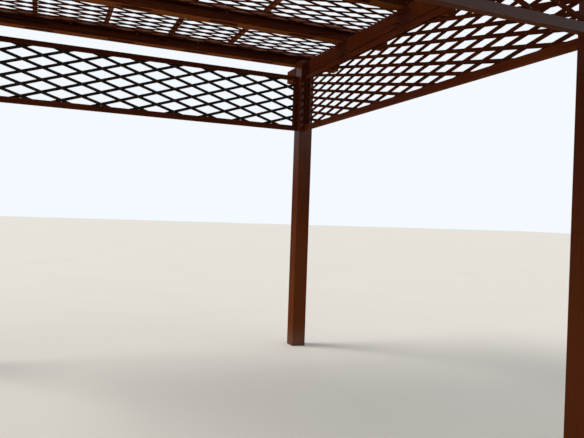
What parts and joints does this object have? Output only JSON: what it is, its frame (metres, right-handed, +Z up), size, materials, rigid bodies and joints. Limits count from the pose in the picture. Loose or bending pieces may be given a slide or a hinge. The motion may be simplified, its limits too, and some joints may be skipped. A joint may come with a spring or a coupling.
{
  "type": "wooden pergola",
  "caption": "Open garden pergola on square posts, with side beams, crossing rafters, lattice valances on every side and lattice sheets between the rafters.",
  "frame": {"origin": "on the floor, under the middle of the pergola", "axes": "+Z up, +X to the right along the rafters, +Y to the back along the side beams"},
  "size_m": [3.68, 3.822, 2.64],
  "materials": {
    "frame_timber": "dark red-brown glossy varnish over planed softwood",
    "valance_frame": "dark red-brown glossy varnish over planed softwood",
    "lattice_slats": "dark red-brown varnish, thinner and duller than on the frame",
    "roof_battens": "dark red-brown varnish over sawn softwood"
  },
  "bodies": {
    "root": {"back_left_post": "frame_timber", "back_right_post": "frame_timber", "back_valance_bottom_rail": "valance_frame", "back_valance_lattice": "lattice_slats", "back_valance_left_stile": "valance_frame", "back_valance_right_stile": "valance_frame", "back_valance_top_rail": "valance_frame", "front_left_post": "frame_timber", "front_right_post": "frame_timber", "front_valance_bottom_rail": "valance_frame", "front_valance_lattice": "lattice_slats", "front_valance_left_stile": "valance_frame", "front_valance_right_stile": "valance_frame", "front_valance_top_rail": "valance_frame", "left_beam": "frame_timber", "left_valance_bottom_rail": "valance_frame", "left_valance_lattice": "lattice_slats", "left_valance_left_stile": "valance_frame", "left_valance_right_stile": "valance_frame", "left_valance_top_rail": "valance_frame", "rafter_1": "frame_timber", "rafter_1_ledgers": "roof_battens", "rafter_2": "frame_timber", "rafter_2_ledgers": "roof_battens", "rafter_3": "frame_timber", "rafter_3_ledgers": "roof_battens", "rafter_4": "frame_timber", "rafter_4_ledgers": "roof_battens", "rafter_5": "frame_timber", "rafter_5_ledgers": "roof_battens", "right_beam": "frame_timber", "right_valance_bottom_rail": "valance_frame", "right_valance_lattice": "lattice_slats", "right_valance_left_stile": "valance_frame", "right_valance_right_stile": "valance_frame", "right_valance_top_rail": "valance_frame", "roof_batten_1": "roof_battens", "roof_batten_2": "roof_battens", "roof_batten_3": "roof_battens", "roof_batten_4": "roof_battens", "roof_edge_battens": "roof_battens", "roof_lattice_1": "lattice_slats", "roof_lattice_2": "lattice_slats", "roof_lattice_3": "lattice_slats", "roof_lattice_4": "lattice_slats"}
  },
  "joints": []
}
